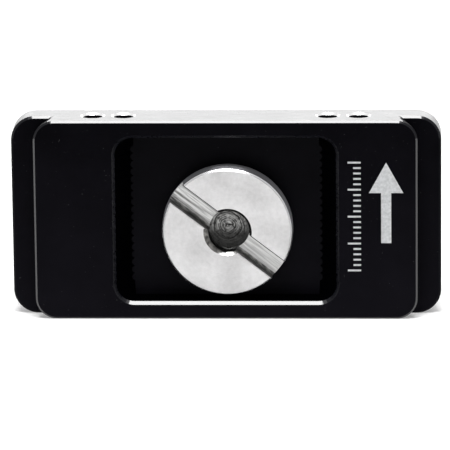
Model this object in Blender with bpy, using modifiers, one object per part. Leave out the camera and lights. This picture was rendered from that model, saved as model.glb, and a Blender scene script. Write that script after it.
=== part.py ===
"""Quick release plate for a tripod head: an aluminium plate with dovetail ends, its captive camera screw,
the clip that keeps the screw in its slot, and two grip pads on the camera side.

Units are metres. X runs along the plate, Z runs up its width and Y runs through its thickness.
The clamp side faces -Y and the camera side faces +Y, with the plate standing on one long side at Z = 0.
"""
import math

import bmesh
import bpy
from mathutils import Vector

# Plate outline
LIP_LENGTH = 0.0380
FLANGE_LENGTH = 0.0427
PLATE_WIDTH = 0.0202
BLOCK_DEPTH = 0.0022
FLANGE_DEPTH = 0.0030
LIP_LAND = 0.0006
UNDERCUT = 0.0010
BLOCK_CORNER = 0.0021
FLANGE_CORNER = 0.00245
ROOT_CORNER = 0.0011
EDGE_CHAMFER = 0.00018
FLANGE_CHAMFER = 0.00022

# Milled recess on the clamp side
RECESS_LENGTH = 0.0219
RECESS_WIDTH = 0.0167
RECESS_DEPTH = 0.0030
RECESS_CORNER = 0.0018
TIP_RADIUS = 0.00042
RIM_CHAMFER = 0.0003
PASS_PITCH = 0.00079

# Blind holes in the upper long side
SIDE_HOLE_DIAMETER = 0.0021
SIDE_HOLE_DEPTH = 0.0009
SIDE_HOLE_INNER = 0.01012
SIDE_HOLE_PITCH = 0.00306

# Camera screw
HEAD_DIAMETER = 0.0130
HEAD_HEIGHT = 0.0024
HEAD_CHAMFER = 0.0003
HEAD_BACK_CHAMFER = 0.0004
HEAD_LIFT = 0.0004
COIN_SLOT_WIDTH = 0.0020
COIN_SLOT_DEPTH = 0.0015
COIN_SLOT_ANGLE = math.radians(-36.7)
BORE_DIAMETER = 0.00415
BORE_MOUTH_DIAMETER = 0.00485
BORE_DEPTH = 0.0016
BORE_TIP_DEPTH = 0.0001
NECK_DIAMETER = 0.0047
THREAD_DIAMETER = 0.00635
THREAD_CHAMFER = 0.0005
THREAD_OUT = 0.0052
SCREW_X = 0.00013

# Room of the screw in the plate
SCREW_SHIFT = 0.0018
SCREW_SAG = 0.0013
SLOT_WEB = 0.0013
CLEARANCE = 0.0003

# Clip on the screw's neck
CLIP_DIAMETER = 0.0088
CLIP_THICKNESS = 0.0006
CLIP_MOUTH = 0.0042

# Grip pads on the camera side
PAD_LENGTH = 0.0090
PAD_WIDTH = 0.0150
PAD_THICKNESS = 0.0006
PAD_CORNER = 0.0012
PAD_POCKET_DEPTH = 0.0005
PAD_END_MARGIN = 0.0024

# Roundness
CORNER_STEPS = 8
ROUND_STEPS = 72
SMALL_ROUND_STEPS = 24
TAPER_STEPS = 4
PASS_STEPS = 4

# Sizes that follow from the ones above
PLATE_DEPTH = BLOCK_DEPTH + FLANGE_DEPTH
PAD_PROUD = CLEARANCE + PAD_THICKNESS - PAD_POCKET_DEPTH
OVERALL_DEPTH = PLATE_DEPTH + PAD_PROUD + THREAD_OUT
FACE_Y = -OVERALL_DEPTH / 2
MIDDLE_Z = PLATE_WIDTH / 2
SCREW_Z = MIDDLE_Z - SCREW_SAG
HEAD_BACK = RECESS_DEPTH - HEAD_LIFT
CLIP_POCKET_FLOOR = RECESS_DEPTH + SLOT_WEB
CLIP_FRONT = CLIP_POCKET_FLOOR + CLEARANCE
NECK_END = CLIP_FRONT + CLIP_THICKNESS + CLEARANCE
SLOT_HALF_WIDTH = NECK_DIAMETER / 2 + SCREW_SAG + CLEARANCE
SLOT_HALF_LENGTH = SLOT_HALF_WIDTH + SCREW_SHIFT
CLIP_POCKET_HALF_WIDTH = CLIP_DIAMETER / 2 + SCREW_SAG + CLEARANCE
CLIP_POCKET_HALF_LENGTH = CLIP_POCKET_HALF_WIDTH + SCREW_SHIFT
OVERCUT = 0.0005


def clear_scene():
    """Removes what the scene holds, so that the model starts from nothing."""
    for item in list(bpy.data.objects):
        bpy.data.objects.remove(item, do_unlink=True)
    for group in list(bpy.data.collections):
        bpy.data.collections.remove(group)


def make_collections():
    """Makes the collection of the parts and the one of the cutters."""
    parts = bpy.data.collections.new("quick_release_plate")
    cutters = bpy.data.collections.new("cutters")
    bpy.context.scene.collection.children.link(parts)
    bpy.context.scene.collection.children.link(cutters)
    return parts, cutters


def make_material(name, color, metallic, roughness):
    """Makes one finish."""
    material = bpy.data.materials.new(name)
    material.use_nodes = True
    shader = material.node_tree.nodes["Principled BSDF"]
    shader.inputs["Base Color"].default_value = (*color, 1.0)
    shader.inputs["Metallic"].default_value = metallic
    shader.inputs["Roughness"].default_value = roughness
    material.diffuse_color = (*color, 1.0)
    return material


def corner_arc(center_x, center_z, radius, start, steps):
    """Points of a quarter circle that starts at an angle in degrees and turns to the left."""
    points = []
    for step in range(steps + 1):
        angle = math.radians(start + 90.0 * step / steps)
        points.append((center_x + radius * math.cos(angle), center_z + radius * math.sin(angle)))
    return points


def rounded_outline(half_x, half_z, radius, steps=CORNER_STEPS):
    """A rectangle with round corners about the origin."""
    radius = min(radius, half_x, half_z)
    in_x = half_x - radius
    in_z = half_z - radius
    points = []
    points += corner_arc(in_x, in_z, radius, 0.0, steps)
    points += corner_arc(-in_x, in_z, radius, 90.0, steps)
    points += corner_arc(-in_x, -in_z, radius, 180.0, steps)
    points += corner_arc(in_x, -in_z, radius, 270.0, steps)
    return points


def track_outline(half_x, half_z, steps=12):
    """A slot outline: two half circles joined by straight sides."""
    return rounded_outline(half_x, half_z, half_z, steps)


def loft(name, sections, middle=(0.0, MIDDLE_Z)):
    """A closed body through outlines at rising depths behind the plate's clamp face.

    Each section is a depth and an outline of (x, z) points, all with the same number of points.
    """
    mesh = bpy.data.meshes.new(name)
    body = bmesh.new()
    rings = []
    for depth, outline in sections:
        ring = []
        for x, z in outline:
            ring.append(body.verts.new((middle[0] + x, FACE_Y + depth, middle[1] + z)))
        rings.append(ring)
    count = len(rings[0])
    for near, far in zip(rings[:-1], rings[1:]):
        for index in range(count):
            following = (index + 1) % count
            body.faces.new((near[index], far[index], far[following], near[following]))
    body.faces.new(rings[0])
    body.faces.new(list(reversed(rings[-1])))
    bmesh.ops.remove_doubles(body, verts=body.verts, dist=1e-7)
    bmesh.ops.recalc_face_normals(body, faces=body.faces)
    body.to_mesh(mesh)
    body.free()
    return bpy.data.objects.new(name, mesh)


def cylinder(name, radius, length, center, axis, steps):
    """A closed cylinder about an axis through its centre."""
    mesh = bpy.data.meshes.new(name)
    body = bmesh.new()
    bmesh.ops.create_cone(
        body, cap_ends=True, segments=steps, radius1=radius, radius2=radius, depth=length
    )
    body.to_mesh(mesh)
    body.free()
    item = bpy.data.objects.new(name, mesh)
    item.location = center
    item.rotation_euler = Vector((0.0, 0.0, 1.0)).rotation_difference(Vector(axis)).to_euler()
    return item


def box(name, size):
    """A closed box about the origin."""
    mesh = bpy.data.meshes.new(name)
    body = bmesh.new()
    bmesh.ops.create_cube(body, size=1.0)
    bmesh.ops.scale(body, vec=size, verts=body.verts)
    body.to_mesh(mesh)
    body.free()
    return bpy.data.objects.new(name, mesh)


def turned(name, profile, steps):
    """A body turned about its own Z axis from (radius, height) points, from the top down."""
    mesh = bpy.data.meshes.new(name)
    mesh.from_pydata(
        [(radius, 0.0, height) for radius, height in profile],
        [(index, index + 1) for index in range(len(profile) - 1)],
        [],
    )
    item = bpy.data.objects.new(name, mesh)
    screw = item.modifiers.new("Turn", "SCREW")
    screw.axis = "Z"
    screw.angle = math.tau
    screw.steps = steps
    screw.render_steps = steps
    screw.use_merge_vertices = True
    screw.merge_threshold = 0.000001
    screw.use_smooth_shade = False
    return item


def as_cutter(item, cutters):
    """Files a body with the cutters."""
    item.display_type = "WIRE"
    item.hide_render = True
    cutters.objects.link(item)
    return item


def cut(item, cutter):
    """Takes one body out of another."""
    step = item.modifiers.new("Cut " + cutter.name, "BOOLEAN")
    step.operation = "DIFFERENCE"
    step.solver = "EXACT"
    step.object = cutter


def join(item, other):
    """Adds one body to another."""
    step = item.modifiers.new("Join " + other.name, "BOOLEAN")
    step.operation = "UNION"
    step.solver = "EXACT"
    step.object = other


def settle(item, sharp_angle):
    """Turns the modifiers into the mesh and shades it smooth between its sharp edges."""
    bpy.context.view_layer.update()
    graph = bpy.context.evaluated_depsgraph_get()
    mesh = bpy.data.meshes.new_from_object(item.evaluated_get(graph))
    item.modifiers.clear()
    item.data = mesh
    mesh.shade_smooth()
    mesh.set_sharp_from_angle(angle=math.radians(sharp_angle))


def finish(item, material, parts, sharp_angle=30.0):
    """Files a finished piece with the parts and gives it its finish."""
    settle(item, sharp_angle)
    item.data.materials.clear()
    item.data.materials.append(material)
    return item


# The recess is milled in straight passes along X with a tapered cutter. Each pass leaves a
# rounded end and a cusp to the next one, so the two ends slope and are scalloped, and the long
# sides are straight walls.
def recess_outline(radius):
    """Outline of the recess at the depth where its passes end in arcs of the given radius."""
    reach_x = RECESS_LENGTH / 2 - RECESS_CORNER
    reach_z = RECESS_WIDTH / 2 - RECESS_CORNER
    gaps = max(1, round(2 * reach_z / PASS_PITCH))
    pitch = 2 * reach_z / gaps
    half_pitch = pitch / 2
    radius = max(radius, 0.52 * pitch)
    cusp = math.sqrt(radius ** 2 - half_pitch ** 2)
    corner = max(RECESS_CORNER, radius)
    shoulder = math.asin(min(1.0, half_pitch / corner))
    end = []
    for step in range(CORNER_STEPS):
        angle = -math.pi / 2 + (math.pi / 2 - shoulder) * step / CORNER_STEPS
        end.append((
            reach_x + cusp * math.cos(angle) / math.cos(shoulder),
            -reach_z + corner * math.sin(angle),
        ))
    for number in range(gaps + 1):
        for step in range(PASS_STEPS):
            offset = -half_pitch + pitch * step / PASS_STEPS
            bulge = math.sqrt(radius ** 2 - offset ** 2)
            end.append((reach_x + bulge, -reach_z + pitch * number + offset))
    for step in range(CORNER_STEPS + 1):
        angle = shoulder + (math.pi / 2 - shoulder) * step / CORNER_STEPS
        end.append((
            reach_x + cusp * math.cos(angle) / math.cos(shoulder),
            reach_z + corner * math.sin(angle),
        ))
    return end + [(-x, -z) for x, z in end]


def recess_cutter():
    """The space that the cutter clears, from its floor to above the clamp face."""
    rim = RECESS_CORNER + RIM_CHAMFER
    sections = [
        (-OVERCUT, recess_outline(rim + OVERCUT)),
        (0.0, recess_outline(rim)),
    ]
    for step in range(TAPER_STEPS + 1):
        share = step / TAPER_STEPS
        sections.append((
            RIM_CHAMFER + (RECESS_DEPTH - RIM_CHAMFER) * share,
            recess_outline(RECESS_CORNER + (TIP_RADIUS - RECESS_CORNER) * share),
        ))
    return loft("recess_cutter", sections)


# The plate is one block of aluminium. Its front part ends in dovetail lips that the clamp grips,
# its flange stands out beyond them, and the long sides run flush from front to back.
def plate_blank():
    """The outer form: clamp face, lips, undercut ends and flange."""
    lip_x = LIP_LENGTH / 2
    flange_x = FLANGE_LENGTH / 2
    side_z = PLATE_WIDTH / 2
    root_x = lip_x - UNDERCUT
    lip = rounded_outline(lip_x, side_z, BLOCK_CORNER)
    face = rounded_outline(lip_x - EDGE_CHAMFER, side_z - EDGE_CHAMFER, BLOCK_CORNER - EDGE_CHAMFER)
    root = rounded_outline(root_x, side_z, ROOT_CORNER)
    flange = rounded_outline(flange_x, side_z, FLANGE_CORNER)
    flange_edge = rounded_outline(
        flange_x - FLANGE_CHAMFER, side_z - FLANGE_CHAMFER, FLANGE_CORNER - FLANGE_CHAMFER
    )
    block = loft("plate_body", [
        (0.0, face),
        (EDGE_CHAMFER, lip),
        (LIP_LAND, lip),
        (LIP_LAND + UNDERCUT, root),
        (BLOCK_DEPTH + FLANGE_DEPTH / 2, root),
    ])
    rear = loft("flange_blank", [
        (BLOCK_DEPTH, flange_edge),
        (BLOCK_DEPTH + FLANGE_CHAMFER, flange),
        (PLATE_DEPTH - FLANGE_CHAMFER, flange),
        (PLATE_DEPTH, flange_edge),
    ])
    return block, rear


def make_plate(parts, cutters, material):
    """The milled plate."""
    plate, flange = plate_blank()
    parts.objects.link(plate)
    join(plate, as_cutter(flange, cutters))
    cut(plate, as_cutter(recess_cutter(), cutters))

    slot = track_outline(SLOT_HALF_LENGTH, SLOT_HALF_WIDTH)
    slot_cutter = loft("slot_cutter", [
        (RECESS_DEPTH - OVERCUT, slot),
        (PLATE_DEPTH + OVERCUT, slot),
    ])
    cut(plate, as_cutter(slot_cutter, cutters))

    pocket = track_outline(CLIP_POCKET_HALF_LENGTH, CLIP_POCKET_HALF_WIDTH)
    pocket_cutter = loft("clip_pocket_cutter", [
        (CLIP_POCKET_FLOOR, pocket),
        (PLATE_DEPTH + OVERCUT, pocket),
    ])
    cut(plate, as_cutter(pocket_cutter, cutters))

    for side in (-1, 1):
        seat = rounded_outline(
            PAD_LENGTH / 2 + CLEARANCE, PAD_WIDTH / 2 + CLEARANCE, PAD_CORNER + CLEARANCE
        )
        seat_cutter = loft(
            "pad_seat_cutter_" + ("left" if side < 0 else "right"),
            [(PLATE_DEPTH - PAD_POCKET_DEPTH, seat), (PLATE_DEPTH + OVERCUT, seat)],
            middle=(side * pad_center(), MIDDLE_Z),
        )
        cut(plate, as_cutter(seat_cutter, cutters))
        for number in range(2):
            hole_cutter = cylinder(
                "side_hole_cutter_{}_{}".format("left" if side < 0 else "right", number),
                SIDE_HOLE_DIAMETER / 2,
                2 * SIDE_HOLE_DEPTH,
                (
                    side * (SIDE_HOLE_INNER + SIDE_HOLE_PITCH * number),
                    FACE_Y + PLATE_DEPTH / 2,
                    PLATE_WIDTH,
                ),
                (0.0, 0.0, 1.0),
                SMALL_ROUND_STEPS,
            )
            cut(plate, as_cutter(hole_cutter, cutters))
    return finish(plate, material, parts)


def pad_center():
    """Distance of each grip pad's centre from the middle of the plate."""
    return FLANGE_LENGTH / 2 - PAD_END_MARGIN - PAD_LENGTH / 2


# Two thin rubber pads sit in shallow seats on the camera side and stand a little proud of it.
def make_pads(parts, material):
    """The grip pads."""
    pads = []
    for side in (-1, 1):
        outline = rounded_outline(PAD_LENGTH / 2, PAD_WIDTH / 2, PAD_CORNER)
        start = PLATE_DEPTH - PAD_POCKET_DEPTH + CLEARANCE
        pad = loft(
            "grip_pad_" + ("left" if side < 0 else "right"),
            [(start, outline), (start + PAD_THICKNESS, outline)],
            middle=(side * pad_center(), MIDDLE_Z),
        )
        parts.objects.link(pad)
        pads.append(finish(pad, material, parts))
    return pads


# The camera screw is turned from bar: a flat head with a coin slot and a blind bore, an undercut
# neck that rides in the plate's slot, and the thread that goes into the camera.
def make_screw(parts, cutters, material, hinge):
    """The camera screw, turned about the local Z axis, which points out of the clamp side."""
    head = HEAD_DIAMETER / 2
    neck = NECK_DIAMETER / 2
    thread = THREAD_DIAMETER / 2
    neck_end = -(NECK_END - HEAD_BACK)
    tip = -(OVERALL_DEPTH - HEAD_BACK)
    step = thread - neck
    screw = turned("camera_screw", [
        (0.0, HEAD_HEIGHT),
        (head - HEAD_CHAMFER, HEAD_HEIGHT),
        (head, HEAD_HEIGHT - HEAD_CHAMFER),
        (head, HEAD_BACK_CHAMFER),
        (head - HEAD_BACK_CHAMFER, 0.0),
        (neck, 0.0),
        (neck, neck_end),
        (neck + step / 2, neck_end),
        (thread, neck_end - step / 2),
        (thread, tip + THREAD_CHAMFER),
        (thread - THREAD_CHAMFER, tip),
        (0.0, tip),
    ], ROUND_STEPS)
    parts.objects.link(screw)
    screw.parent = hinge

    mouth = BORE_MOUTH_DIAMETER / 2
    bore = BORE_DIAMETER / 2
    countersink = mouth - bore
    bore_cutter = turned("bore_cutter", [
        (0.0, HEAD_HEIGHT + countersink),
        (mouth + countersink, HEAD_HEIGHT + countersink),
        (bore, HEAD_HEIGHT - countersink),
        (bore, HEAD_HEIGHT - BORE_DEPTH),
        (0.0, HEAD_HEIGHT - BORE_DEPTH - BORE_TIP_DEPTH),
    ], ROUND_STEPS)
    bore_cutter.parent = hinge

    slot_cutter = box("coin_slot_cutter", (
        HEAD_DIAMETER + 2 * OVERCUT, COIN_SLOT_WIDTH, 2 * COIN_SLOT_DEPTH
    ))
    slot_cutter.parent = hinge
    slot_cutter.location = (0.0, 0.0, HEAD_HEIGHT)
    slot_cutter.rotation_euler = (0.0, 0.0, COIN_SLOT_ANGLE)

    cut(screw, as_cutter(bore_cutter, cutters))
    cut(screw, as_cutter(slot_cutter, cutters))
    return finish(screw, material, parts)


# A spring steel clip is pushed onto the neck from the side. It is wider than the slot and keeps
# the screw in the plate.
def make_clip(parts, cutters, material, hinge):
    """The open clip round the neck."""
    outer = CLIP_DIAMETER / 2
    inner = NECK_DIAMETER / 2 + CLEARANCE
    top = -(CLIP_FRONT - HEAD_BACK)
    bottom = top - CLIP_THICKNESS
    clip = turned("retaining_clip", [(0.0, top), (outer, top), (outer, bottom), (0.0, bottom)], ROUND_STEPS)
    parts.objects.link(clip)
    clip.parent = hinge

    middle = (top + bottom) / 2
    hole = cylinder(
        "clip_hole_cutter", inner, 3 * CLIP_THICKNESS, (0.0, 0.0, middle), (0.0, 0.0, 1.0), ROUND_STEPS
    )
    hole.parent = hinge
    mouth = box("clip_mouth_cutter", (CLIP_MOUTH, CLIP_DIAMETER, 3 * CLIP_THICKNESS))
    mouth.parent = hinge
    mouth.location = (0.0, CLIP_DIAMETER / 2, middle)
    cut(clip, as_cutter(hole, cutters))
    cut(clip, as_cutter(mouth, cutters))
    return finish(clip, material, parts)


def make_hinge(parts):
    """The screw's axis: local Z points out of the clamp side, at the back of the head."""
    hinge = bpy.data.objects.new("screw_axis", None)
    hinge.location = (SCREW_X, FACE_Y + HEAD_BACK, SCREW_Z)
    hinge.rotation_euler = (math.pi / 2, 0.0, 0.0)
    hinge.empty_display_size = HEAD_DIAMETER
    parts.objects.link(hinge)
    return hinge


def build():
    """Builds the whole plate."""
    clear_scene()
    parts, cutters = make_collections()
    anodised = make_material("black_anodised", (0.012, 0.012, 0.014), 0.6, 0.4)
    steel = make_material("turned_steel", (0.62, 0.62, 0.62), 1.0, 0.35)
    spring = make_material("spring_steel", (0.30, 0.30, 0.31), 1.0, 0.4)
    rubber = make_material("grip_rubber", (0.02, 0.02, 0.02), 0.0, 0.85)
    make_plate(parts, cutters, anodised)
    make_pads(parts, rubber)
    hinge = make_hinge(parts)
    make_screw(parts, cutters, steel, hinge)
    make_clip(parts, cutters, spring, hinge)


build()
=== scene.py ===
import math

import bmesh
import bpy
from mathutils import Matrix, Vector


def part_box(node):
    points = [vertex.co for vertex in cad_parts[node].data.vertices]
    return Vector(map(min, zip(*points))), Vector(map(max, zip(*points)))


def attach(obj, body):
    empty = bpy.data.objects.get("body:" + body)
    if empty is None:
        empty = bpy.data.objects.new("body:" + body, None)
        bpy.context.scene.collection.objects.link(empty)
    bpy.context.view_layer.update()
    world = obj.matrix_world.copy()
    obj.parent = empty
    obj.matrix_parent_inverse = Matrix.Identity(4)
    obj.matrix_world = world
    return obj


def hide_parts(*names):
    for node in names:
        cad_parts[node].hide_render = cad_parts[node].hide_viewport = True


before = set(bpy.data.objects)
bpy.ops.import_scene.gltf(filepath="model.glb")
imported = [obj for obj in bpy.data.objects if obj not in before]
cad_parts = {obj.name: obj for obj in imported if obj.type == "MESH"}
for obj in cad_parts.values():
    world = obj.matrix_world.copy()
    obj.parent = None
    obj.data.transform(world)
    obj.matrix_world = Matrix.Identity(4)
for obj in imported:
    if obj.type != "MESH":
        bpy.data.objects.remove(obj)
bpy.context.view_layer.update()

# The plate is one block of aluminium, milled and then anodised black. Its front ends in two
# dovetail lips for the clamp, and a wider flange lies behind them. Sizes are in millimetres.
MM = 0.001
PLATE_WIDTH = 20.2
PLATE_DEPTH = 5.2
MIDDLE_Z = PLATE_WIDTH / 2
BLOCK_DEPTH = 2.2
BLOCK_END = 3.7
LIP_LENGTH = 38.0
LIP_CORNER = 2.1
LIP_LAND = 0.6
UNDERCUT = 1.0
ROOT_CORNER = 1.1
EDGE_BREAK = 0.18
FLANGE_LENGTH = 42.7
FLANGE_CORNER = 2.45
FLANGE_BREAK = 0.22
FACE_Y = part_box("plate_body")[0][1]


def spot(x, depth, z):
    """A point given by its place on the clamp face and its depth behind that face."""
    return Vector((x * MM, FACE_Y + depth * MM, z * MM))


def quarter(mid_x, mid_z, radius, start, steps):
    """Points of a quarter circle that turns to the left from an angle in degrees."""
    turns = [math.radians(start + 90.0 * step / steps) for step in range(steps + 1)]
    return [(mid_x + radius * math.cos(turn), mid_z + radius * math.sin(turn)) for turn in turns]


def rounded(half_x, half_z, radius, steps=20):
    """A rectangle with round corners about the origin."""
    in_x, in_z = half_x - radius, half_z - radius
    return (quarter(in_x, in_z, radius, 0.0, steps) + quarter(-in_x, in_z, radius, 90.0, steps)
            + quarter(-in_x, -in_z, radius, 180.0, steps) + quarter(in_x, -in_z, radius, 270.0, steps))


def new_piece(name, mesh):
    """A piece in the scene that holds a mesh."""
    piece = bpy.data.objects.new(name, mesh)
    bpy.context.scene.collection.objects.link(piece)
    return piece


def piece_from(body, name):
    """Turns a body's faces outward and makes a piece of it."""
    bmesh.ops.recalc_face_normals(body, faces=body.faces)
    mesh = bpy.data.meshes.new(name)
    body.to_mesh(mesh)
    body.free()
    return new_piece(name, mesh)


def bridge(body, rings):
    """Joins rings of points in turn by faces and closes both ends. A ring of one point is a tip."""
    steps = max(len(ring) for ring in rings)
    for near, far in zip(rings[:-1], rings[1:]):
        for here in range(steps):
            after = (here + 1) % steps
            corners = [near[here % len(near)], near[after % len(near)],
                       far[after % len(far)], far[here % len(far)]]
            body.faces.new(list(dict.fromkeys(corners)))
    for ring in (rings[0], rings[-1]):
        if len(ring) > 1:
            body.faces.new(ring)


def layered(name, layers, mid_x=0.0, mid_z=MIDDLE_Z):
    """A closed body through outlines, each at its own depth behind the clamp face."""
    body = bmesh.new()
    rings = []
    for depth, outline in layers:
        rings.append([body.verts.new(spot(mid_x + x, depth, mid_z + z)) for x, z in outline])
    bridge(body, rings)
    bmesh.ops.remove_doubles(body, verts=body.verts, dist=1e-7)
    return piece_from(body, name)


def machine(piece, tools, operation="DIFFERENCE"):
    """Cuts the tools' forms out of a piece, or adds them to it, and clears them away."""
    for tool in tools:
        step = piece.modifiers.new(tool.name, "BOOLEAN")
        step.operation = operation
        step.solver = "EXACT"
        step.object = tool
    bpy.context.view_layer.update()
    ready = piece.evaluated_get(bpy.context.evaluated_depsgraph_get())
    mesh = bpy.data.meshes.new_from_object(ready)
    piece.modifiers.clear()
    piece.data = mesh
    for tool in tools:
        bpy.data.objects.remove(tool, do_unlink=True)


def smooth(piece, sharp_degrees=30.0):
    """Shades a piece smooth between its sharp edges, with its flat faces kept flat."""
    piece.data.shade_smooth()
    piece.data.set_sharp_from_angle(angle=math.radians(sharp_degrees))
    flat = piece.modifiers.new("even_faces", "WEIGHTED_NORMAL")
    flat.keep_sharp = True


lip_x, flange_x, side_z = LIP_LENGTH / 2, FLANGE_LENGTH / 2, PLATE_WIDTH / 2
lip = rounded(lip_x, side_z, LIP_CORNER)
lip_edge = rounded(lip_x - EDGE_BREAK, side_z - EDGE_BREAK, LIP_CORNER - EDGE_BREAK)
root = rounded(lip_x - UNDERCUT, side_z, ROOT_CORNER)
plate = layered("plate", [
    (0.0, lip_edge), (EDGE_BREAK, lip), (LIP_LAND, lip), (LIP_LAND + UNDERCUT, root), (BLOCK_END, root),
])
flange_side = rounded(flange_x, side_z, FLANGE_CORNER)
flange_edge = rounded(flange_x - FLANGE_BREAK, side_z - FLANGE_BREAK, FLANGE_CORNER - FLANGE_BREAK)
flange = layered("flange", [
    (BLOCK_DEPTH, flange_edge), (BLOCK_DEPTH + FLANGE_BREAK, flange_side),
    (PLATE_DEPTH - FLANGE_BREAK, flange_side), (PLATE_DEPTH, flange_edge),
])
machine(plate, [flange], "UNION")

# The recess for the screw's head is milled into the clamp face in straight passes along the
# plate, by a tapered cutter, so its two ends are rows of small scallops. Its rim is broken.
RECESS_LENGTH = 21.9
RECESS_WIDTH = 16.7
RECESS_DEPTH = 3.0
RECESS_CORNER = 1.8
RIM_BREAK = 0.3
PASSES = 18
PASS_TIP = 0.395
PASS_STEPS = 8
CORNER_STEPS = 16
FLANK_STEPS = 8
OVERCUT = 0.5


def recess_ring(radius):
    """The recess seen from the front at the depth where its passes end in arcs of this radius.

    Each pass along the recess ends in its own small arc, with a cusp to the next one."""
    reach_x, reach_z = RECESS_LENGTH / 2 - RECESS_CORNER, RECESS_WIDTH / 2 - RECESS_CORNER
    pitch = 2 * reach_z / (PASSES - 1)
    cusp = math.sqrt(radius ** 2 - (pitch / 2) ** 2)
    corner = max(RECESS_CORNER, radius)
    shoulder = math.asin(pitch / 2 / corner)
    corner_arc = []
    for step in range(CORNER_STEPS + 1):
        turn = shoulder + (math.pi / 2 - shoulder) * step / CORNER_STEPS
        corner_arc.append((reach_x + cusp * math.cos(turn) / math.cos(shoulder),
                           reach_z + corner * math.sin(turn)))
    end = [(x, -z) for x, z in reversed(corner_arc[1:])]
    for number in range(PASSES):
        for step in range(PASS_STEPS):
            aside = pitch * (step / PASS_STEPS - 0.5)
            end.append((reach_x + math.sqrt(radius ** 2 - aside ** 2), -reach_z + pitch * number + aside))
    end += corner_arc
    return end + [(-x, -z) for x, z in end]


recess_layers = [(-OVERCUT, recess_ring(RECESS_CORNER + RIM_BREAK + OVERCUT)),
                 (0.0, recess_ring(RECESS_CORNER + RIM_BREAK))]
for step in range(FLANK_STEPS + 1):
    share = step / FLANK_STEPS
    recess_layers.append((RIM_BREAK + (RECESS_DEPTH - RIM_BREAK) * share,
                          recess_ring(RECESS_CORNER + (PASS_TIP - RECESS_CORNER) * share)))

# The screw's slot goes through the web behind the recess, with a wider seat for the clip at the
# back. The rear face has two shallow seats for the grip pads.
SIDES = ((-1, "left"), (1, "right"))
SLOT_HALF_WIDTH = 3.95
SLOT_HALF_LENGTH = 5.75
SLOT_BREAK = 0.15
CLIP_SEAT_HALF_WIDTH = 6.0
CLIP_SEAT_HALF_LENGTH = 7.8
CLIP_SEAT_FLOOR = 4.3
CLIP_SEAT_BREAK = 0.2
PAD_LENGTH = 9.0
PAD_WIDTH = 15.0
PAD_CORNER = 1.2
PAD_MIDDLE = 14.45
PAD_GAP = 0.2
PAD_SEAT_DEPTH = 0.5


def slotted(half_length, half_width, grown=0.0):
    """A slot's outline with half round ends, grown all round by this much."""
    return rounded(half_length + grown, half_width + grown, half_width + grown, 32)


slot_sides = slotted(SLOT_HALF_LENGTH, SLOT_HALF_WIDTH)
slot_mouth = slotted(SLOT_HALF_LENGTH, SLOT_HALF_WIDTH, SLOT_BREAK)
seat_sides = slotted(CLIP_SEAT_HALF_LENGTH, CLIP_SEAT_HALF_WIDTH)
seat_mouth = slotted(CLIP_SEAT_HALF_LENGTH, CLIP_SEAT_HALF_WIDTH, 2 * CLIP_SEAT_BREAK)
tools = [
    layered("recess_tool", recess_layers),
    layered("slot_tool", [
        (RECESS_DEPTH - OVERCUT, slot_mouth), (RECESS_DEPTH, slot_mouth),
        (RECESS_DEPTH + SLOT_BREAK, slot_sides), (PLATE_DEPTH + OVERCUT, slot_sides),
    ]),
    layered("clip_seat_tool", [
        (CLIP_SEAT_FLOOR, seat_sides), (PLATE_DEPTH - CLIP_SEAT_BREAK, seat_sides),
        (PLATE_DEPTH + CLIP_SEAT_BREAK, seat_mouth),
    ]),
]
pad_seat = rounded(PAD_LENGTH / 2 + PAD_GAP, PAD_WIDTH / 2 + PAD_GAP, PAD_CORNER + PAD_GAP)
pad_seat_layers = [(PLATE_DEPTH - PAD_SEAT_DEPTH, pad_seat), (PLATE_DEPTH + OVERCUT, pad_seat)]
for side, label in SIDES:
    tools.append(layered("pad_seat_tool_" + label, pad_seat_layers, mid_x=side * PAD_MIDDLE))
machine(plate, tools)

# Two pairs of small blind holes are drilled into the middle of the upper long side and slightly
# countersunk, which leaves a rim of bare metal round each.
SIDE_HOLE_RADIUS = 1.02
SIDE_HOLE_DEPTH = 0.9
SIDE_HOLE_CONE = 0.3
SIDE_HOLE_SINK = 0.2
SIDE_HOLE_PLACES = (10.12, 13.18)
DRILL_TIP = 0.02
drill_profile = [
    (DRILL_TIP, -SIDE_HOLE_DEPTH - SIDE_HOLE_CONE), (SIDE_HOLE_RADIUS, -SIDE_HOLE_DEPTH),
    (SIDE_HOLE_RADIUS, -SIDE_HOLE_SINK), (SIDE_HOLE_RADIUS + 2 * SIDE_HOLE_SINK, SIDE_HOLE_SINK),
]


def upright_drill(name, x, steps=64):
    """A drill with its countersink, standing on the upper long side."""
    body = bmesh.new()
    turns = [math.tau * step / steps for step in range(steps)]
    rings = []
    for radius, height in drill_profile:
        rings.append([body.verts.new(spot(x + radius * math.cos(turn),
                                          PLATE_DEPTH / 2 + radius * math.sin(turn),
                                          PLATE_WIDTH + height)) for turn in turns])
    bridge(body, rings)
    return piece_from(body, name)


drills = []
for side, label in SIDES:
    for place in SIDE_HOLE_PLACES:
        drills.append(upright_drill("drill_{}_{}".format(label, place), side * place))
machine(plate, drills)
smooth(plate)


def new_finish(name, color, metallic, roughness, specular=0.5):
    """A finish with its plain values set on the shader, its node tree and its shader."""
    finish = bpy.data.materials.new(name)
    finish.use_nodes = True
    shader = finish.node_tree.nodes["Principled BSDF"]
    shader.inputs["Base Color"].default_value = (*color, 1.0)
    shader.inputs["Metallic"].default_value = metallic
    shader.inputs["Roughness"].default_value = roughness
    shader.inputs["Specular IOR Level"].default_value = specular
    finish.diffuse_color = (*color, 1.0)
    return finish, finish.node_tree, shader


def feed(tree, node, socket, value):
    """Sets a node's socket, or links it where the value is another node's output."""
    if hasattr(value, "is_output"):
        tree.links.new(value, node.inputs[socket])
    else:
        node.inputs[socket].default_value = value


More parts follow.
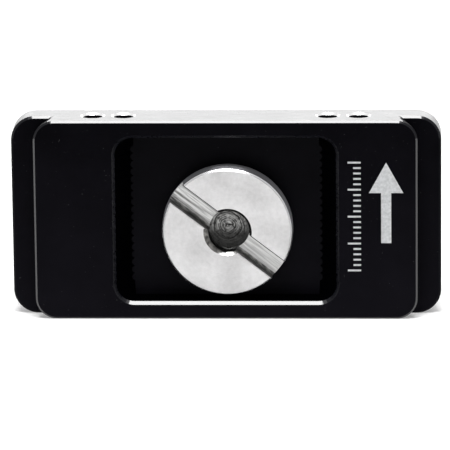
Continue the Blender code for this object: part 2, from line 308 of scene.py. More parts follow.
def place_on(tree, stretch=(1.0, 1.0, 1.0), offset=(0.0, 0.0, 0.0), turn=(0.0, 0.0, 0.0)):
    """The place on the piece in metres, stretched where a grain runs one way."""
    where = tree.nodes.new("ShaderNodeTexCoord")
    mapping = tree.nodes.new("ShaderNodeMapping")
    mapping.vector_type = "TEXTURE"
    feed(tree, mapping, "Vector", where.outputs["Object"])
    feed(tree, mapping, "Location", offset)
    feed(tree, mapping, "Rotation", turn)
    feed(tree, mapping, "Scale", stretch)
    return mapping.outputs["Vector"]


def grain(tree, vector, size_mm, detail=3.0, rough=0.55):
    """A noise whose blotches are about this many millimetres across."""
    noise = tree.nodes.new("ShaderNodeTexNoise")
    feed(tree, noise, "Vector", vector)
    feed(tree, noise, "Scale", 1.0 / (size_mm * MM))
    feed(tree, noise, "Detail", detail)
    feed(tree, noise, "Roughness", rough)
    return noise.outputs["Fac"]


def between(tree, value, low, high, from_low=0.3, from_high=0.7):
    """Spreads a value from one range to another."""
    spread = tree.nodes.new("ShaderNodeMapRange")
    feed(tree, spread, "Value", value)
    feed(tree, spread, "From Min", from_low)
    feed(tree, spread, "From Max", from_high)
    feed(tree, spread, "To Min", low)
    feed(tree, spread, "To Max", high)
    return spread.outputs["Result"]


def combine(tree, operation, first, second):
    """Joins two values by arithmetic."""
    node = tree.nodes.new("ShaderNodeMath")
    node.operation = operation
    feed(tree, node, 0, first)
    feed(tree, node, 1, second)
    return node.outputs["Value"]


def part_of(tree, vector, axis):
    """One part of a vector: X, Y or Z."""
    parts = tree.nodes.new("ShaderNodeSeparateXYZ")
    feed(tree, parts, "Vector", vector)
    return parts.outputs[axis]


def blend_colors(tree, share, first, second):
    """Mixes two colours, of which each is three values or another node's output."""
    mix = tree.nodes.new("ShaderNodeMix")
    mix.data_type = "RGBA"
    tree.links.new(share, mix.inputs["Factor"])
    for socket, color in ((mix.inputs[6], first), (mix.inputs[7], second)):
        if hasattr(color, "is_output"):
            tree.links.new(color, socket)
        else:
            socket.default_value = (*color, 1.0)
    return mix.outputs[2]


def relief(tree, shader, height, depth_mm):
    """Small relief on a finish, this many millimetres deep."""
    bump = tree.nodes.new("ShaderNodeBump")
    feed(tree, bump, "Strength", 1.0)
    feed(tree, bump, "Distance", depth_mm * MM)
    feed(tree, bump, "Height", height)
    tree.links.new(bump.outputs["Normal"], shader.inputs["Normal"])


def tinted(tree, shader, marks, dark, pale, low=0.3, high=0.7):
    """Lets a pattern of marks vary the colour between two colours."""
    share = between(tree, marks, 0.0, 1.0, low, high)
    tree.links.new(blend_colors(tree, share, dark, pale), shader.inputs["Base Color"])


def worked(tree, shader, marks, smoothest, roughest, depth_mm=None):
    """Lets a pattern of marks vary the roughness and, with a depth, stand in the surface."""
    tree.links.new(between(tree, marks, smoothest, roughest), shader.inputs["Roughness"])
    if depth_mm is not None:
        relief(tree, shader, marks, depth_mm)


def coat_with_painted_falloff(tree, shader, deep, pale, blotch_mm):
    """The black anodised colour: blotchy, with specks of dust, and darkened towards the upper side by
    painted shade, where less light falls.
    """
    where = place_on(tree)
    # Painted shade: the colour deepens from the lower side to the upper side, as the light falls off there.
    painted_falloff = between(tree, part_of(tree, where, "Z"), 0.85, 0.1, 0.0, PLATE_WIDTH * MM)
    mottle = between(tree, grain(tree, where, blotch_mm, 2.0), -0.15, 0.15)
    cover = blend_colors(tree, combine(tree, "ADD", painted_falloff, mottle), deep, pale)
    dust = between(tree, grain(tree, where, 0.22, 1.0), 0.0, 0.6, 0.76, 0.8)
    tree.links.new(blend_colors(tree, dust, cover, (0.05, 0.05, 0.052)), shader.inputs["Base Color"])


def dress(piece, finishes, choose):
    """Gives a piece its finishes, and each of its faces the one that is chosen for it."""
    for finish in finishes:
        piece.data.materials.append(finish)
    for face in piece.data.polygons:
        face.material_index = finishes.index(choose(face))


# The anodising is satin on the blasted faces and keeps the cutter's marks in the recess. Most edges are
# bright cuts.
# Those in the recess's shade and at the upper corners get a darker, duller copy of that finish as painted
# shade, and the recess's flanks get a near black copy of the milled finish, also painted shade.
DEEP_BLACK = (0.0002, 0.0001, 0.0008)
satin_black, tree, shader = new_finish("satin_black_anodised", (0.0014, 0.0013, 0.0025), 0.0, 0.5, 0.03)
blast = grain(tree, place_on(tree), 0.09, 4.0)
cloud = grain(tree, place_on(tree), 3.5, 2.0)
coat_with_painted_falloff(tree, shader, DEEP_BLACK, (0.0052, 0.0048, 0.0072), 3.5)
uneven = between(tree, combine(tree, "ADD", blast, cloud), 0.45, 0.56, 0.7, 1.3)
tree.links.new(uneven, shader.inputs["Roughness"])
relief(tree, shader, blast, 0.005)

edge_black, tree, shader = new_finish("bright_cut_edge", (0.006, 0.006, 0.009), 0.0, 0.1, 0.7)
nicks = grain(tree, place_on(tree), 0.35)
worked(tree, shader, nicks, 0.06, 0.15, 0.003)

milled_black, tree, shader = new_finish("milled_black_anodised", (0.0008, 0.0007, 0.0018), 0.0, 0.4, 0.035)
passes = grain(tree, place_on(tree, (25.0, 1.0, 1.0)), 0.12)
coat_with_painted_falloff(tree, shader, DEEP_BLACK, (0.0042, 0.0039, 0.0062), 2.0)
worked(tree, shader, passes, 0.36, 0.46, 0.003)

side_black, tree, shader = new_finish("side_black_anodised", (0.004, 0.004, 0.006), 0.0, 0.3, 0.75)
strokes = grain(tree, place_on(tree, (30.0, 1.0, 1.0)), 0.1)
worked(tree, shader, strokes, 0.26, 0.36, 0.002)

# A darker, duller copy of the bright edge finish, put on edges that lie in shade: painted shade.
shaded_edge_black, tree, shader = new_finish("rim_black_anodised", (0.003, 0.003, 0.005), 0.0, 0.3, 0.16)
nicks = grain(tree, place_on(tree), 0.3)
worked(tree, shader, nicks, 0.24, 0.36, 0.002)

# A near black, barely glossy copy of the milled finish for the recess's sloped flanks: painted shade.
shaded_flank_black, tree, shader = new_finish("flank_black_anodised", (0.0001, 0.0001, 0.0003), 0.0, 0.5, 0.008)
chatter = grain(tree, place_on(tree, (1.0, 8.0, 1.0)), 0.2)
worked(tree, shader, chatter, 0.46, 0.58, 0.002)

bare_metal, tree, shader = new_finish("bare_countersink", (0.8, 0.8, 0.8), 1.0, 0.3)
turned = grain(tree, place_on(tree, (1.0, 1.0, 0.1)), 0.2)
worked(tree, shader, turned, 0.26, 0.36)

# Each face gets its finish by where it lies: how far past the recess's outline its rim reaches,
# how high the upper edge's band is, where the countersinks end and the flange's edge begins.
RIM_REACH = 0.4
EDGE_BAND = 0.25
SLACK = 0.02
SINKS_NEAR, SINKS_FAR = 1.0, 4.9
sinks_x = max(SIDE_HOLE_PLACES) + SIDE_HOLE_RADIUS + 2 * SIDE_HOLE_SINK
flange_edge_x = lip_x - 2.5


def plate_finish(face):
    """The finish of a face of the plate, by where it lies and which way it looks."""
    depth, height = (face.center.y - FACE_Y) / MM, face.center.z / MM
    x, z = abs(face.center.x) / MM, abs(height - MIDDLE_Z)
    sideways, backward, upward = abs(face.normal.x), face.normal.y, face.normal.z
    upper_edge = height > PLATE_WIDTH - EDGE_BAND
    in_recess = x < RECESS_LENGTH / 2 + RIM_REACH and z < RECESS_WIDTH / 2 + RIM_REACH
    on_flange_break = BLOCK_DEPTH < depth < BLOCK_DEPTH + FLANGE_BREAK and x > flange_edge_x
    # The flange's broken edge at its upper corners, below the upper band, takes the darker edge copy:
    # painted shade.
    if on_flange_break and upward > 0.05:
        return edge_black if upper_edge else shaded_edge_black
    if upper_edge and x < sinks_x and 0.3 < upward < 0.95 and SINKS_NEAR < depth < SINKS_FAR:
        return bare_metal
    # Rim edges that face down or sideways in the recess, and those at the lips' upper corners, take the
    # darker edge copy: painted shade.
    if -0.95 < backward < -0.4 and depth < RIM_BREAK + SLACK:
        if in_recess:
            painted_dark = upward < -0.1 or sideways > 0.3
        else:
            painted_dark = upward > 0.1 and sideways > 0.1
        return shaded_edge_black if painted_dark else edge_black
    # The recess's flanks take the near black copy: painted shade.
    if in_recess and RIM_BREAK < depth < RECESS_DEPTH - SLACK and abs(backward) < 0.95:
        return shaded_flank_black
    if in_recess and 0.2 < depth < RECESS_DEPTH + 0.3:
        return milled_black
    if abs(backward) < 0.1 and (z > side_z - 0.1 or (depth > BLOCK_DEPTH and x > lip_x)):
        return side_black
    return satin_black


dress(plate, [satin_black, edge_black, milled_black, side_black, shaded_edge_black, bare_metal, shaded_flank_black],
      plate_finish)
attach(plate, "plate")
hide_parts("plate_body")

# A mark is screen printed in pale ink on the flat of the clamp face beside the recess: a plain
# arrow along the plate's width and a short scale of ticks. The ink stands very slightly proud.
INK = 0.012
ARROW_X, ARROW_Z = 15.9, 16.0
ARROW_LENGTH, ARROW_HEAD_LENGTH = 8.2, 3.1
ARROW_HALF_WIDTH, ARROW_HEAD_HALF_WIDTH = 0.5, 1.7
TICKS, LONG_TICK_EVERY = 21, 5
TICK_X, TICK_PITCH, TICK_HALF_WIDTH = 13.4, 0.55, 0.09
LONG_TICK, SHORT_TICK = 1.3, 0.75


def printed(name, outlines):
    """A thin printed shape from outlines on the clamp face."""
    body = bmesh.new()
    for outline in outlines:
        bridge(body, [[body.verts.new(spot(x, depth, z)) for x, z in outline] for depth in (-INK, INK)])
    return piece_from(body, name)


def bar(left, low, right, high):
    """The corners of a bar."""
    return [(left, low), (right, low), (right, high), (left, high)]


tail_z, neck_z = ARROW_Z - ARROW_LENGTH, ARROW_Z - ARROW_HEAD_LENGTH
arrow = [(ARROW_X - ARROW_HALF_WIDTH, tail_z), (ARROW_X + ARROW_HALF_WIDTH, tail_z),
         (ARROW_X + ARROW_HALF_WIDTH, neck_z), (ARROW_X + ARROW_HEAD_HALF_WIDTH, neck_z),
         (ARROW_X, ARROW_Z),
         (ARROW_X - ARROW_HEAD_HALF_WIDTH, neck_z), (ARROW_X - ARROW_HALF_WIDTH, neck_z)]
ticks = []
for number in range(TICKS):
    height = ARROW_Z - TICK_PITCH * number
    length = SHORT_TICK if number % LONG_TICK_EVERY else LONG_TICK
    ticks.append(bar(TICK_X - length, height - TICK_HALF_WIDTH, TICK_X, height + TICK_HALF_WIDTH))
mark = printed("printed_mark", [arrow] + ticks)
pale_ink, tree, shader = new_finish("pale_ink", (0.62, 0.63, 0.64), 0.0, 0.55)
mottle = grain(tree, place_on(tree), 0.25)
tinted(tree, shader, mottle, (0.5, 0.51, 0.52), (0.7, 0.71, 0.72))
worked(tree, shader, mottle, 0.5, 0.62)
mark.data.materials.append(pale_ink)
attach(mark, "plate")

# Two rubber pads are glued into the seats on the camera side. They are moulded with fine ribs
# across the plate, so that the camera doesn't turn on it, and stand 0.4 mm out of the metal.
PAD_BACK = 5.6
PAD_GLUE = 0.01
PAD_ROWS = 40
RIBS, RIB_STEPS = 15, 12
RIB_PITCH, RIB_HEIGHT, RIB_SHARPNESS = PAD_LENGTH / RIBS, 0.14, 0.7
PLAIN_BORDER, RIB_RUN_OUT = 0.25, 0.3
RIM_ROUND, RIM_DROP = 0.12, 0.1


def grip_pad(name, mid_x):
    """One pad: a rounded sheet whose outer side is ribbed inside a plain border."""
    half_x, half_z = PAD_LENGTH / 2, PAD_WIDTH / 2
    columns = RIBS * RIB_STEPS
    body = bmesh.new()
    grid = []
    for column in range(columns + 1):
        x = -half_x + PAD_LENGTH * column / columns
        over = max(0.0, abs(x) - (half_x - PAD_CORNER))
        reach = half_z - PAD_CORNER + math.sqrt(max(0.0, PAD_CORNER ** 2 - over ** 2))
        wave = 0.5 + 0.5 * math.cos(math.tau * x / RIB_PITCH)
        line = []
        for row in range(PAD_ROWS + 1):
            z = reach * (2 * row / PAD_ROWS - 1)
            edge = min(half_x - abs(x), reach - abs(z))
            ribbed = min(1.0, max(0.0, (edge - PLAIN_BORDER) / RIB_RUN_OUT))
            rim = min(1.0, edge / RIM_ROUND)
            groove = RIB_HEIGHT * (1 - wave ** RIB_SHARPNESS) * ribbed
            drop = RIM_DROP * (1 - math.sqrt(1 - (1 - rim) ** 2))
            line.append(body.verts.new(spot(mid_x + x, PAD_BACK - groove - drop, MIDDLE_Z + z)))
        grid.append(line)
    for near, far in zip(grid[:-1], grid[1:]):
        for row in range(PAD_ROWS):
            body.faces.new((near[row], far[row], far[row + 1], near[row + 1]))
    border = [edge for edge in body.edges if edge.is_boundary]
    sunk = bmesh.ops.extrude_edge_only(body, edges=border)["geom"]
    for item in sunk:
        if isinstance(item, bmesh.types.BMVert):
            item.co.y = FACE_Y + (PLATE_DEPTH - PAD_SEAT_DEPTH + PAD_GLUE) * MM
    bmesh.ops.holes_fill(body, edges=[edge for edge in body.edges if edge.is_boundary], sides=0)
    bmesh.ops.remove_doubles(body, verts=body.verts, dist=1e-7)
    return piece_from(body, name)


grip_rubber, tree, shader = new_finish("ribbed_rubber", (0.02, 0.02, 0.021), 0.0, 0.7, 0.35)
tinted(tree, shader, grain(tree, place_on(tree), 1.2, 4.0), (0.014, 0.014, 0.015), (0.03, 0.03, 0.031))
worked(tree, shader, grain(tree, place_on(tree), 0.06), 0.62, 0.8, 0.006)
for side, label in SIDES:
    pad = grip_pad("pad_" + label, side * PAD_MIDDLE)
    pad.data.shade_smooth()
    pad.data.set_sharp_from_angle(angle=math.radians(60.0))
    pad.data.materials.append(grip_rubber)
    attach(pad, "plate")
    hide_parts("grip_pad_" + label)

# The camera screw is turned from stainless bar. Its flat head has a coin slot and a blind bore
# with a turned floor, and its undercut neck lets it turn and shift in the plate's slot.
SCREW_X, SCREW_Z = 0.13, 8.8
HEAD_RADIUS, HEAD_FRONT, HEAD_BACK = 6.5, 0.4, 2.8
NECK_RADIUS, NECK_END = 2.35, 5.5
NECK_FILLET = 0.15
THREAD_LAP = 0.2


def turned_form(name, profile, steps=224, off=0.0):
    """A form turned about the screw's axis, from (radius, depth) points.

    Its fourth point is moved half of the off value to the right, and each later one all of it."""
    body = bmesh.new()
    rings = []
    for number, (radius, depth) in enumerate(profile):
        middle = SCREW_X + off * min(1.0, max(0.0, (number - 2) / 2))
        turns = [math.tau * step / steps for step in range(steps if radius > 0.0 else 1)]
        rings.append([body.verts.new(spot(middle + radius * math.cos(turn), depth,
                                          SCREW_Z + radius * math.sin(turn))) for turn in turns])
    bridge(body, rings)
    return piece_from(body, name)


# The head's front edge has a fine groove and then a round, and its back edge is broken. Each
# pair is an inset from the head's radius and a depth behind its face, or before its back.
front_edge = [(0.25, 0.0), (0.22, 0.03), (0.19, 0.01), (0.14, 0.05), (0.05, 0.14), (0.02, 0.25), (0.0, 0.5)]
back_edge = [(0.0, 0.42), (0.03, 0.36), (0.4, 0.0)]
head = turned_form(
    "screw_head",
    [(0.0, HEAD_FRONT)]
    + [(HEAD_RADIUS - inset, HEAD_FRONT + sunk) for inset, sunk in front_edge]
    + [(HEAD_RADIUS - inset, HEAD_BACK - raised) for inset, raised in back_edge]
    + [(NECK_RADIUS + NECK_FILLET, HEAD_BACK), (NECK_RADIUS, HEAD_BACK + NECK_FILLET),
       (NECK_RADIUS, NECK_END + THREAD_LAP), (0.0, NECK_END + THREAD_LAP)])

# The bore has a wider, slanted mouth, stands a little to the right of the axis and keeps low
# steps from its drill on the floor. Each pair there is a radius and a rise above the floor.
BORE_RADIUS, BORE_MOUTH, BORE_DEPTH = 2.08, 2.4, 1.5
BORE_OFF = 0.17
BORE_CORNER = 0.12
TOOL_START = -1.0
bore_floor = HEAD_FRONT + BORE_DEPTH
floor_steps = [(1.55, -0.03), (1.5, 0.04), (1.0, 0.02), (0.95, -0.04), (0.5, -0.07), (0.36, 0.16),
               (0.0, 0.24)]
bore = turned_form(
    "bore_tool",
    [(0.0, TOOL_START), (BORE_MOUTH + 0.2, TOOL_START), (BORE_MOUTH + 0.2, HEAD_FRONT - 0.21),
     (BORE_MOUTH - 0.29, HEAD_FRONT + 0.31), (BORE_RADIUS, HEAD_FRONT + 0.42),
     (BORE_RADIUS, bore_floor - BORE_CORNER), (BORE_RADIUS - BORE_CORNER, bore_floor)]
    + [(radius, bore_floor - rise) for radius, rise in floor_steps],
    off=BORE_OFF)

# The coin slot runs right across the head, with broken edges and slightly round inner corners.
SLOT_ANGLE = math.radians(-37.8)
COIN_SLOT_WIDTH, COIN_SLOT_DEPTH = 2.15, 1.45
COIN_SLOT_BREAK, COIN_SLOT_CORNER = 0.1, 0.1
COIN_SLOT_FLARE = 0.45
FLARE_FRONT = HEAD_FRONT - 0.4
half_slot, reach = COIN_SLOT_WIDTH / 2, HEAD_RADIUS + 1.0
slot_floor = HEAD_FRONT + COIN_SLOT_DEPTH
half_section = [(half_slot + COIN_SLOT_FLARE, TOOL_START), (half_slot + COIN_SLOT_FLARE, FLARE_FRONT),
                (half_slot, HEAD_FRONT + COIN_SLOT_BREAK), (half_slot, slot_floor - COIN_SLOT_CORNER),
                (half_slot - COIN_SLOT_CORNER, slot_floor)]
section = half_section + [(-across, depth) for across, depth in reversed(half_section)]
body = bmesh.new()
ends = []
for run in (-reach, reach):
    ends.append([body.verts.new(spot(
        SCREW_X + run * math.cos(SLOT_ANGLE) - across * math.sin(SLOT_ANGLE), depth,
        SCREW_Z + run * math.sin(SLOT_ANGLE) + across * math.cos(SLOT_ANGLE))) for across, depth in section])
bridge(body, ends)
machine(head, [bore, piece_from(body, "coin_slot_tool")])
smooth(head, 25.0)


def beside_axis(tree, above=0.0):
    """The place in metres beside the screw's axis, or beside a line this far above it."""
    where = tree.nodes.new("ShaderNodeTexCoord")
    beside = tree.nodes.new("ShaderNodeVectorMath")
    beside.operation = "SUBTRACT"
    feed(tree, beside, 0, where.outputs["Object"])
    feed(tree, beside, 1, spot(SCREW_X, 0.0, SCREW_Z + above))
    return beside.outputs["Vector"]


def axis_distance(tree, beside):
    """The distance in metres from that axis or line."""
    flat = tree.nodes.new("ShaderNodeVectorMath")
    flat.operation = "MULTIPLY"
    feed(tree, flat, 0, beside)
    feed(tree, flat, 1, (1.0, 0.0, 1.0))
    length = tree.nodes.new("ShaderNodeVectorMath")
    length.operation = "LENGTH"
    feed(tree, length, 0, flat.outputs["Vector"])
    return length.outputs["Value"]


def ring_grain(tree, distance, pitch_mm, detail=2.0):
    """Uneven rings about the screw's axis, as a turning tool leaves them."""
    line = tree.nodes.new("ShaderNodeCombineXYZ")
    feed(tree, line, "X", distance)
    return grain(tree, line.outputs["Vector"], pitch_mm, detail)


def turn_the_grain(tree, shader, amount):
    """Draws the gloss out across the turning marks, which run round the axis."""
    shader.inputs["Anisotropic"].default_value = amount
    shader.inputs["Anisotropic Rotation"].default_value = 0.25
    tangent = tree.nodes.new("ShaderNodeTangent")
    tangent.direction_type = "RADIAL"
    tangent.axis = "Y"
    tree.links.new(tangent.outputs["Tangent"], shader.inputs["Tangent"])


# The head's face is finely turned, with light scuffs and a faint haze.
turned_steel, tree, shader = new_finish("turned_steel", (0.56, 0.56, 0.555), 1.0, 0.4)
distance = axis_distance(tree, beside_axis(tree))
rings = ring_grain(tree, distance, 0.16, 3.0)
bands = ring_grain(tree, distance, 1.3, 1.0)
scuffs = grain(tree, place_on(tree), 0.5, 4.0, 0.65)
haze = grain(tree, place_on(tree, offset=(0.0021, 0.0, 0.0013)), 4.5, 1.0)
marks = combine(tree, "ADD", combine(tree, "MULTIPLY", rings, 0.3), scuffs)
marks = combine(tree, "ADD", marks, combine(tree, "MULTIPLY", haze, 1.6))
tinted(tree, shader, marks, (0.46, 0.455, 0.457), (0.64, 0.635, 0.638), 1.1, 1.85)
uneven = between(tree, combine(tree, "ADD", bands, scuffs), 0.34, 0.48, 0.7, 1.3)
tree.links.new(uneven, shader.inputs["Roughness"])
turn_the_grain(tree, shader, 0.2)
relief(tree, shader, rings, 0.0008)

side_steel, tree, shader = new_finish("turned_side_steel", (0.17, 0.17, 0.18), 1.0, 0.5)
grooves = grain(tree, place_on(tree, (1.0, 0.05, 1.0)), 1.0)
tinted(tree, shader, grooves, (0.14, 0.14, 0.15), (0.19, 0.19, 0.2))
worked(tree, shader, grooves, 0.46, 0.54)
turn_the_grain(tree, shader, 1.0)

# The slot is milled and scored along its run, most of all on the left. Its lower wall and the strip of floor
# below
# that wall are painted dark in streaks: painted shade.
along_slot = (0.0, -SLOT_ANGLE, 0.0)
slotted_steel, tree, shader = new_finish("slotted_steel", (0.42, 0.42, 0.415), 1.0, 0.36)
beside = beside_axis(tree)
across = tree.nodes.new("ShaderNodeVectorMath")
across.operation = "DOT_PRODUCT"
feed(tree, across, 0, beside)
feed(tree, across, 1, (-math.sin(SLOT_ANGLE), 0.0, math.cos(SLOT_ANGLE)))
# Painted shade: within about 0.3 mm of the lower wall the colour turns dark, streaked along the slot.
shade_edge = [(inset - half_slot) * MM for inset in (0.29, 0.37)]
out_of_shade = between(tree, across.outputs["Value"], 0.0, 1.0, *shade_edge)
strokes = grain(tree, place_on(tree, (26.0, 1.0, 1.0), turn=along_slot), 0.2, 5.0, 0.7)
score_marks = between(tree, strokes, 0.0, 1.0, 0.42, 0.56)
scores = blend_colors(tree, score_marks, (0.12, 0.119, 0.117), (0.6, 0.6, 0.595))
scored = between(tree, part_of(tree, beside, "X"), 1.0, 0.4, -5.5 * MM, 3.0 * MM)
cut = blend_colors(tree, scored, (0.47, 0.47, 0.465), scores)
shade_streaks = grain(tree, place_on(tree, (3.0, 1.0, 1.0), turn=along_slot), 0.25, 2.0)
shade_streak_share = between(tree, shade_streaks, 0.0, 1.0, 0.45, 0.62)
painted_shade = blend_colors(tree, shade_streak_share, (0.09, 0.09, 0.088), (0.27, 0.268, 0.263))
tree.links.new(blend_colors(tree, out_of_shade, painted_shade, cut), shader.inputs["Base Color"])
worked(tree, shader, strokes, 0.28, 0.44, 0.008)

# The bore's floor shows the drill's swirl about a point above the axis. Its colour is painted dark as shade
# deep in the bore, and painted lighter near that point and on its upper half, as light and highlights.
SWIRL_ABOVE = 0.35
bored_steel, tree, shader = new_finish("bored_steel", (0.06, 0.058, 0.055), 1.0, 0.3)
beside = beside_axis(tree, SWIRL_ABOVE)
distance = axis_distance(tree, beside)
wobble = combine(tree, "MULTIPLY", grain(tree, place_on(tree), 1.2, 1.0), 0.45 * MM)
rings = ring_grain(tree, combine(tree, "ADD", distance, wobble), 0.15, 1.0)
patches = grain(tree, place_on(tree), 0.5, 4.0, 0.7)
swirl = combine(tree, "ADD", rings, patches)
# Painted light: the swirl is lighter near its point and on the upper half, and dark elsewhere as painted
# shade.
near_point = between(tree, distance, 1.0, 0.42, 0.1 * MM, 1.9 * MM)
upper_half = between(tree, part_of(tree, beside, "Z"), 0.12, 1.0, -0.9 * MM, 0.3 * MM)
painted_light_share = combine(tree, "MULTIPLY", near_point, upper_half)
light = combine(tree, "MULTIPLY", between(tree, swirl, 0.05, 1.0, 0.88, 1.2), painted_light_share)
tree.links.new(blend_colors(tree, light, (0.017, 0.0169, 0.0163), (0.45, 0.448, 0.44)),
               shader.inputs["Base Color"])
tree.links.new(between(tree, patches, 0.22, 0.4), shader.inputs["Roughness"])
relief(tree, shader, swirl, 0.03)

# The bore's mouth is painted dark as shade, in uneven patches, apart from its lowest part, which carries a
# painted highlight. The slot's upper edge has the same finish, a line of painted shade, and the head's front
# edge is cut bright.
bevel_steel, tree, shader = new_finish("bevelled_steel", (0.12, 0.12, 0.118), 1.0, 0.24)
beside = beside_axis(tree)
# Painted shade in patches over the mouth, and a painted highlight on its lowest part.
mouth_patches = between(tree, grain(tree, place_on(tree), 0.6, 2.0), 0.0, 1.0, 0.4, 0.6)
painted_dark = blend_colors(tree, mouth_patches, (0.05, 0.049, 0.047), (0.19, 0.186, 0.178))
painted_glint = between(tree, part_of(tree, beside, "Z"), 1.0, 0.0, -2.22 * MM, -2.08 * MM)
tree.links.new(blend_colors(tree, painted_glint, painted_dark, (0.5, 0.5, 0.495)), shader.inputs["Base Color"])
worked(tree, shader, ring_grain(tree, axis_distance(tree, beside), 0.08), 0.2, 0.28)

rim_steel, tree, shader = new_finish("rim_steel", (0.5, 0.5, 0.51), 1.0, 0.22)
worked(tree, shader, ring_grain(tree, axis_distance(tree, beside_axis(tree)), 0.08), 0.18, 0.28)


def head_finish(face):
    """The finish of a face of the screw's head, by its depth behind the head's face and its place."""
    sunk = (face.center.y - FACE_Y) / MM - HEAD_FRONT
    x, z = face.center.x / MM - SCREW_X, face.center.z / MM - SCREW_Z
    radius = math.hypot(x, z)
    above_slot = -x * math.sin(SLOT_ANGLE) + z * math.cos(SLOT_ANGLE)
    outside_bore = radius > BORE_MOUTH - 0.1
    # The slot's upper edge takes the mouth's dark finish: a line of painted shade.
    if outside_bore and half_slot < above_slot < half_slot + 0.1 and 0.01 < sunk < COIN_SLOT_BREAK:
        return bevel_steel
    if BORE_RADIUS - 0.2 < radius < BORE_MOUTH and 0.02 < sunk < 0.4:
        return bevel_steel
    if radius < BORE_MOUTH and 0.02 < sunk < BORE_DEPTH + 0.3:
        return bored_steel
    if radius > HEAD_RADIUS - 0.1 and sunk > 0.25:
        return side_steel
    if radius > HEAD_RADIUS - 0.23 and 0.01 < sunk < 0.3:
        return rim_steel
    in_slot = abs(above_slot) < half_slot + 0.01 and COIN_SLOT_BREAK < sunk < COIN_SLOT_DEPTH + 0.02
    if outside_bore and in_slot:
        return slotted_steel
    return turned_steel


dress(head, [turned_steel, slotted_steel, bored_steel, bevel_steel, side_steel, rim_steel], head_finish)
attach(head, "screw")

# Behind the plate the same bar carries a right handed camera thread, 6.35 mm across with 20 turns
# to the inch, cut with a 60 degree form and chamfered at its tip.
THREAD_RADIUS, THREAD_ROOT, THREAD_PITCH = 3.175, 2.4, 1.27
THREAD_TIP, TIP_RADIUS = 10.8, 2.62
CREST_SHARE, FLANK_SHARE = 1 / 16, 5 / 16
CHAMFER_SLOPE = 0.9
THREAD_STEPS, THREAD_ROWS = 160, 150


def thread_radius(turn, depth):
    """Radius of the thread at an angle about the axis and a depth."""
    phase = (depth / THREAD_PITCH - turn / math.tau) % 1.0
    from_crest = min(phase, 1.0 - phase)
    sunk = min(1.0, max(0.0, (from_crest - CREST_SHARE) / FLANK_SHARE))
    radius = THREAD_RADIUS - (THREAD_RADIUS - THREAD_ROOT) * sunk
    run_in = NECK_RADIUS + CHAMFER_SLOPE * (depth - NECK_END)
    chamfer = TIP_RADIUS + CHAMFER_SLOPE * (THREAD_TIP - depth)
    return max(NECK_RADIUS * 0.99, min(radius, run_in, chamfer))


body = bmesh.new()
rings = []
for row in range(THREAD_ROWS + 1):
    depth = NECK_END + (THREAD_TIP - NECK_END) * row / THREAD_ROWS
    ring = []
    for step in range(THREAD_STEPS):
        turn = math.tau * step / THREAD_STEPS
        radius = thread_radius(turn, depth)
        ring.append(body.verts.new(spot(SCREW_X + radius * math.sin(turn), depth,
                                        SCREW_Z + radius * math.cos(turn))))
    rings.append(ring)
bridge(body, rings)
thread = piece_from(body, "screw_thread")
smooth(thread, 40.0)
threaded_steel, tree, shader = new_finish("threaded_steel", (0.42, 0.42, 0.42), 1.0, 0.34)
chatter = grain(tree, place_on(tree, (0.3, 1.0, 0.3)), 0.3)
tinted(tree, shader, chatter, (0.34, 0.34, 0.342), (0.48, 0.48, 0.478))
worked(tree, shader, chatter, 0.28, 0.42, 0.003)
thread.data.materials.append(threaded_steel)
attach(thread, "screw")
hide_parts("camera_screw")

# An open clip of spring steel, stamped from strip, is pushed onto the neck from above. It is wider
# than the slot, and so keeps the screw in the plate.
CLIP_RADIUS, CLIP_FRONT, CLIP_THICKNESS = 4.4, 4.6, 0.6
CLIP_ROUND, CLIP_BURR = 0.08, 0.12
CLIP_PLAY = 0.06
CLIP_MOUTH, CLIP_MOUTH_LENGTH, CLIP_MOUTH_CORNER = 4.2, 5.6, 0.1
PUNCH_NEAR, PUNCH_FAR = 3.0, 7.0
clip_back = CLIP_FRONT + CLIP_THICKNESS
clip = turned_form("clip", [
    (0.0, CLIP_FRONT), (CLIP_RADIUS - CLIP_ROUND, CLIP_FRONT), (CLIP_RADIUS, CLIP_FRONT + CLIP_ROUND),
    (CLIP_RADIUS, clip_back - CLIP_BURR), (CLIP_RADIUS - CLIP_BURR, clip_back), (0.0, clip_back),
], 160)
hole_radius = NECK_RADIUS + CLIP_PLAY
clip_hole = turned_form("clip_hole", [
    (0.0, PUNCH_NEAR), (hole_radius, PUNCH_NEAR), (hole_radius, PUNCH_FAR), (0.0, PUNCH_FAR),
], 160)
mouth = rounded(CLIP_MOUTH / 2, CLIP_MOUTH_LENGTH / 2, CLIP_MOUTH_CORNER)
clip_mouth = layered("clip_mouth", [(PUNCH_NEAR, mouth), (PUNCH_FAR, mouth)],
                     mid_x=SCREW_X, mid_z=SCREW_Z + CLIP_MOUTH_LENGTH / 2)
machine(clip, [clip_hole, clip_mouth])
smooth(clip, 25.0)
spring_steel, tree, shader = new_finish("spring_steel", (0.3, 0.3, 0.31), 1.0, 0.38)
tinted(tree, shader, grain(tree, place_on(tree), 1.1), (0.22, 0.215, 0.21), (0.36, 0.36, 0.37))
worked(tree, shader, grain(tree, place_on(tree, (1.0, 1.0, 12.0)), 0.1), 0.3, 0.46, 0.004)
clip.data.materials.append(spring_steel)
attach(clip, "clip")
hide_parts("retaining_clip")

# The plate stands on one long side on a plain pale sheet, in a room that shows white to the camera
# and in gloss.
FLOOR_HALF_LENGTH, FLOOR_FRONT, FLOOR_BACK = 0.5, -0.12, 0.6
FLOOR_GLOW = 0.25


def seen_directly(tree):
    """1 for a ray from the camera, in gloss or through glass, and 0 for diffuse light."""
    path = tree.nodes.new("ShaderNodeLightPath")
    mirrored = combine(tree, "MAXIMUM", path.outputs["Is Glossy Ray"], path.outputs["Is Transmission Ray"])
    return combine(tree, "MAXIMUM", path.outputs["Is Camera Ray"], mirrored)


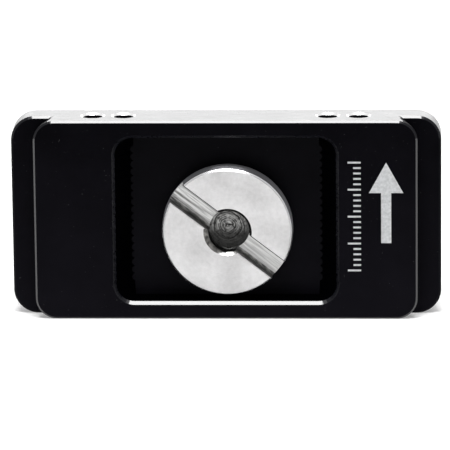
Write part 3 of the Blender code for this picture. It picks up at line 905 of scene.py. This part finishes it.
sheet = [(x, y, 0.0) for x, y in bar(-FLOOR_HALF_LENGTH, FLOOR_FRONT, FLOOR_HALF_LENGTH, FLOOR_BACK)]
floor_mesh = bpy.data.meshes.new("floor")
floor_mesh.from_pydata(sheet, [], [(0, 1, 2, 3)])
floor = new_piece("floor", floor_mesh)
floor_paper, tree, shader = new_finish("floor_paper", (0.8, 0.8, 0.8), 0.0, 0.9, 0.2)
relief(tree, shader, grain(tree, place_on(tree), 0.4), 0.01)
glow = tree.nodes.new("ShaderNodeEmission")
glow.inputs["Color"].default_value = (1.0, 1.0, 1.0, 1.0)
tree.links.new(combine(tree, "MULTIPLY", seen_directly(tree), FLOOR_GLOW), glow.inputs["Strength"])
both = tree.nodes.new("ShaderNodeAddShader")
tree.links.new(shader.outputs["BSDF"], both.inputs[0])
tree.links.new(glow.outputs["Emission"], both.inputs[1])
tree.links.new(both.outputs["Shader"], tree.nodes["Material Output"].inputs["Surface"])
floor.data.materials.append(floor_paper)

# Studio light: a bright soft box overhead and a little to the front, pale cards at both sides and
# behind, and a dim room in front.
focus = spot(0.0, 0.0, MIDDLE_Z)


def softbox(name, direction, distance, width, height, level):
    """A lamp that faces the plate, whose brightness is given as the level that it shows."""
    lamp = bpy.data.lights.new(name, "AREA")
    lamp.shape = "RECTANGLE"
    lamp.size, lamp.size_y = width, height
    lamp.energy = level * math.pi * width * height
    item = bpy.data.objects.new(name, lamp)
    bpy.context.scene.collection.objects.link(item)
    away = Vector(direction).normalized()
    item.location = focus + away * distance
    item.rotation_euler = away.to_track_quat("Z", "Y").to_euler()
    item.visible_camera = False


softbox("overhead", direction=(0.0, -0.27, 0.96), distance=0.55, width=0.30, height=0.24, level=15.0)
softbox("left_card", direction=(-0.8, -0.6, 0.25), distance=0.5, width=0.3, height=0.35, level=0.5)
softbox("right_card", direction=(0.8, -0.6, 0.25), distance=0.5, width=0.3, height=0.35, level=0.2)
softbox("rear_card", direction=(0.0, 0.96, 0.27), distance=0.6, width=0.9, height=0.2, level=2.9)

world = bpy.data.worlds.new("room")
bpy.context.scene.world = world
world.use_nodes = True
tree = world.node_tree
background = tree.nodes["Background"]
background.inputs["Color"].default_value = (1.0, 1.0, 1.0, 1.0)
where = tree.nodes.new("ShaderNodeTexCoord")
room = between(tree, part_of(tree, where.outputs["Generated"], "Y"), 0.12, 0.8, -0.3, 0.4)
tree.links.new(combine(tree, "MAXIMUM", seen_directly(tree), room), background.inputs["Strength"])

bpy.context.scene.view_settings.view_transform = "Standard"

# The camera looks down on the clamp side from a little to the right.
ELEVATION, AZIMUTH, ROLL = math.radians(14.384), math.radians(2.44), math.radians(-0.615)
DISTANCE, PIXELS_PER_MM, IMAGE_WIDTH = 495.9, 10.0945, 450
AIM_X, AIM_Z = -0.0623, 9.65
forward = Vector((-math.sin(AZIMUTH) * math.cos(ELEVATION), math.cos(AZIMUTH) * math.cos(ELEVATION),
                  -math.sin(ELEVATION)))
right = Vector((math.cos(AZIMUTH), math.sin(AZIMUTH), 0.0))
up = right.cross(forward)
rolled_right = math.cos(ROLL) * right + math.sin(ROLL) * up
rolled_up = -math.sin(ROLL) * right + math.cos(ROLL) * up
lens = bpy.data.cameras.new("camera")
lens.sensor_width = 36.0
lens.lens = PIXELS_PER_MM * DISTANCE / IMAGE_WIDTH * lens.sensor_width
lens.clip_start = 0.01
camera = bpy.data.objects.new("camera", lens)
heading = Matrix((rolled_right, rolled_up, -forward)).transposed()
place = spot(AIM_X, 0.0, AIM_Z) - forward * DISTANCE * MM
camera.matrix_world = Matrix.Translation(place) @ heading.to_4x4()
bpy.context.scene.collection.objects.link(camera)
bpy.context.scene.camera = camera
